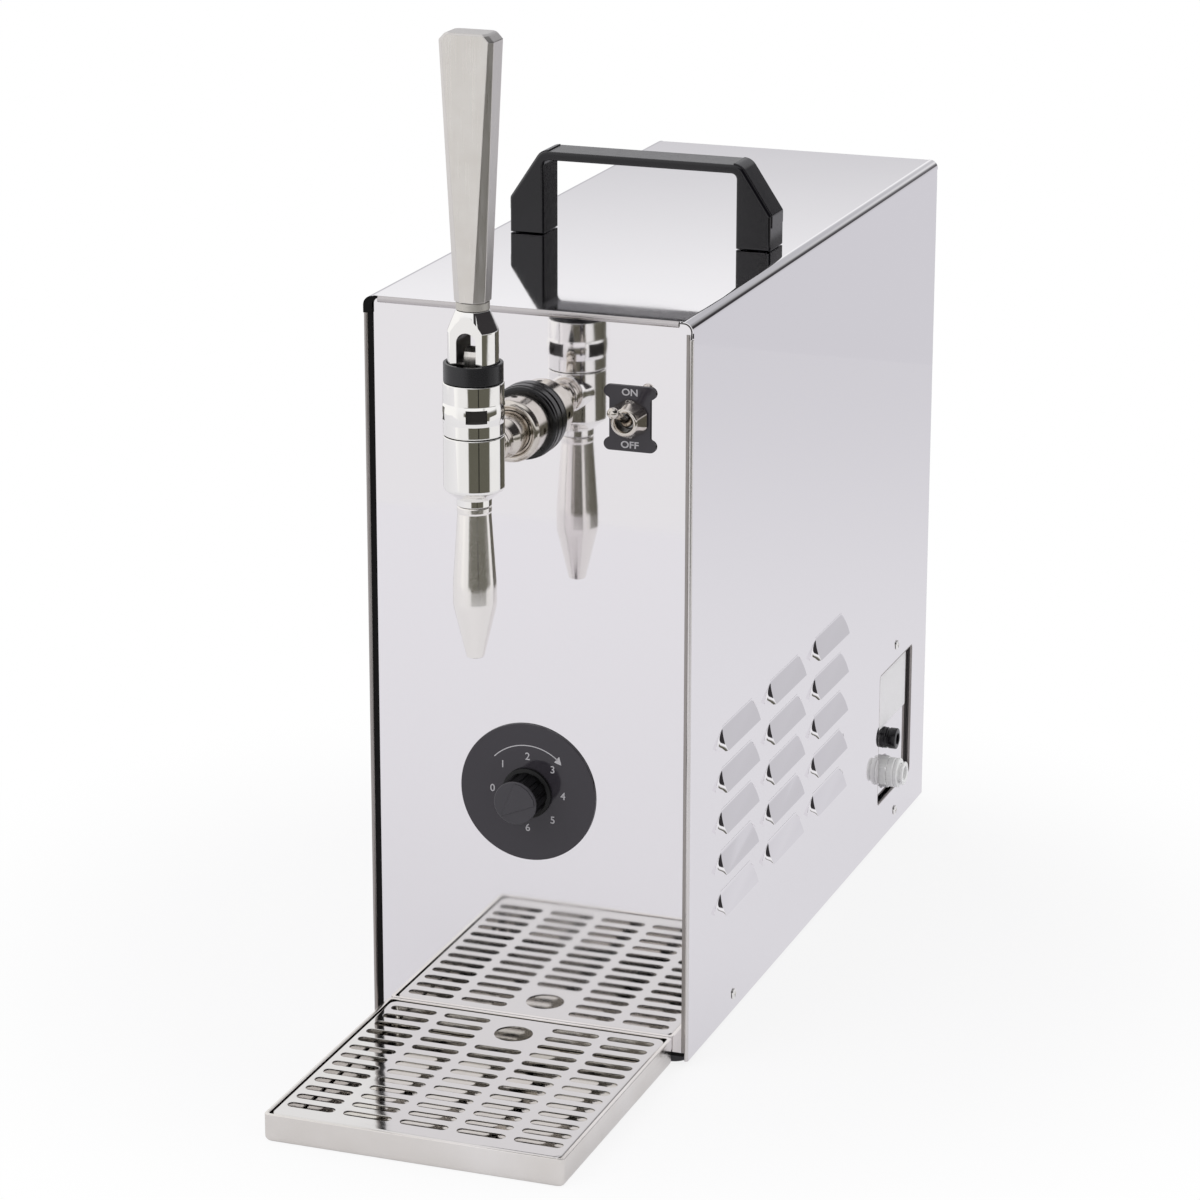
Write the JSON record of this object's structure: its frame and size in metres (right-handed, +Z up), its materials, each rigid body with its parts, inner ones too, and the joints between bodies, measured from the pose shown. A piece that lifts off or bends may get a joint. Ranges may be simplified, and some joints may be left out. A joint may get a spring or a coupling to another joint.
{
  "type": "one-tap dispensing unit",
  "caption": "Tall narrow counter-top dry cooler in mirror-polished steel with a stout tap, drip tray, thermostat knob, gas toggle and carrying handle.",
  "frame": {"origin": "middle of the bounding box, at the bottom, on the counter", "axes": "+X to the right as seen from the front, the tap faces -Y, +Z up"},
  "size_m": [0.1908, 0.6054, 0.5416],
  "materials": {
    "mirror_steel": "mirror-polished stainless steel sheet",
    "polished_steel": "polished stainless steel",
    "brushed_steel": "brushed or blasted stainless steel",
    "galvanised_steel": "zinc-coated sheet steel",
    "black_plastic": "satin black plastic",
    "dark_face": "glossy dark grey printed plate",
    "black_rubber": "matt black rubber",
    "white_plastic": "white plastic",
    "clear_plastic": "natural plastic tube",
    "black_enamel": "black enamel on steel",
    "cast_aluminium": "as-cast aluminium",
    "copper": "copper tube",
    "foam": "rigid foam"
  },
  "bodies": {
    "cooler": {"wrap_cover": "mirror_steel", "front_panel": "mirror_steel", "rear_panel": "galvanised_steel", "base_plate": "galvanised_steel", "mid_shelf": "galvanised_steel", "connection_plate": "mirror_steel", "foot_front_left": "black_rubber", "foot_front_right": "black_rubber", "foot_rear_left": "black_rubber", "foot_rear_right": "black_rubber", "side_screw_right_front": "polished_steel", "side_screw_right_rear": "polished_steel", "side_screw_right_window": "polished_steel", "side_screw_left_front": "polished_steel", "side_screw_left_rear": "polished_steel", "carry_handle": "black_plastic", "handle_cap_left": "black_plastic", "handle_cap_right": "black_plastic", "handle_bolt_left": "galvanised_steel", "handle_bolt_right": "galvanised_steel", "tap_shank": "polished_steel", "shank_rubber_ring": "black_rubber", "shank_coupling_nut": "polished_steel", "shank_locknut": "brushed_steel", "tap_body": "polished_steel", "tap_bonnet": "mirror_steel", "lever_collar": "black_plastic", "spout_nozzle": "polished_steel", "restrictor_disc": "brushed_steel", "dial_plate": "dark_face", "thermostat_body": "black_plastic", "switch_plate": "dark_face", "toggle_nut": "polished_steel", "gas_valve_body": "galvanised_steel", "cooling_block": "cast_aluminium", "block_insulation": "foam", "beverage_line_in": "clear_plastic", "beverage_line_out": "clear_plastic", "gas_line": "clear_plastic", "beverage_inlet": "white_plastic", "gas_inlet": "black_plastic", "compressor": "black_enamel", "condenser": "cast_aluminium", "refrigerant_line": "copper", "fan_shroud": "black_plastic", "fan_motor": "black_plastic", "terminal_box": "black_plastic", "power_gland": "black_plastic"},
    "valve": {"valve_shaft": "brushed_steel", "valve_seal": "black_rubber", "lever_pin": "brushed_steel"},
    "lever": {"lever_yoke": "mirror_steel", "lever_ferrule": "brushed_steel", "tap_handle": "brushed_steel"},
    "knob": {"thermostat_knob": "black_plastic"},
    "toggle": {"toggle_lever": "polished_steel"},
    "fan": {"fan_blade": "black_plastic"},
    "tray": {"drip_tray": "polished_steel"},
    "grid": {"drip_grid": "mirror_steel"},
    "collet": {"inlet_collet": "white_plastic"}
  },
  "joints": [
    {"name": "valve_lift", "type": "slide", "parent": "cooler", "child": "valve", "axis": [0, 0, 1], "range_m": [0, 0.0043]},
    {"name": "lever_tilt", "type": "hinge", "parent": "valve", "child": "lever", "pos_m": [-0.00315, -0.21385, 0.381], "axis": [1, 0, 0], "range_deg": [0, 30]},
    {"name": "knob_turn", "type": "hinge", "parent": "cooler", "child": "knob", "pos_m": [-0.00315, -0.15385, 0.1395], "axis": [0, 1, 0], "range_deg": [0, 315]},
    {"name": "toggle_flip", "type": "hinge", "parent": "cooler", "child": "toggle", "pos_m": [0.05155, -0.14725, 0.3418], "axis": [1, 0, 0], "range_deg": [0, 46]},
    {"name": "fan_spin", "type": "hinge", "parent": "cooler", "child": "fan", "pos_m": [0.02545, 0.01115, 0.0848], "axis": [1, 0, 0], "continuous": true},
    {"name": "tray_slide", "type": "slide", "parent": "cooler", "child": "tray", "axis": [0, -1, 0], "range_m": [0, 0.08]},
    {"name": "grid_lift", "type": "slide", "parent": "tray", "child": "grid", "axis": [0, 0, 1], "range_m": [0, 0.03]},
    {"name": "collet_press", "type": "slide", "parent": "cooler", "child": "collet", "axis": [-1, 0, 0], "range_m": [0, 0.0012], "stiffness_N_per_m": 300}
  ],
  "couplings": [
    {"joint": "valve_lift", "follows": "lever_tilt", "m_per_rad": 0.008}
  ]
}
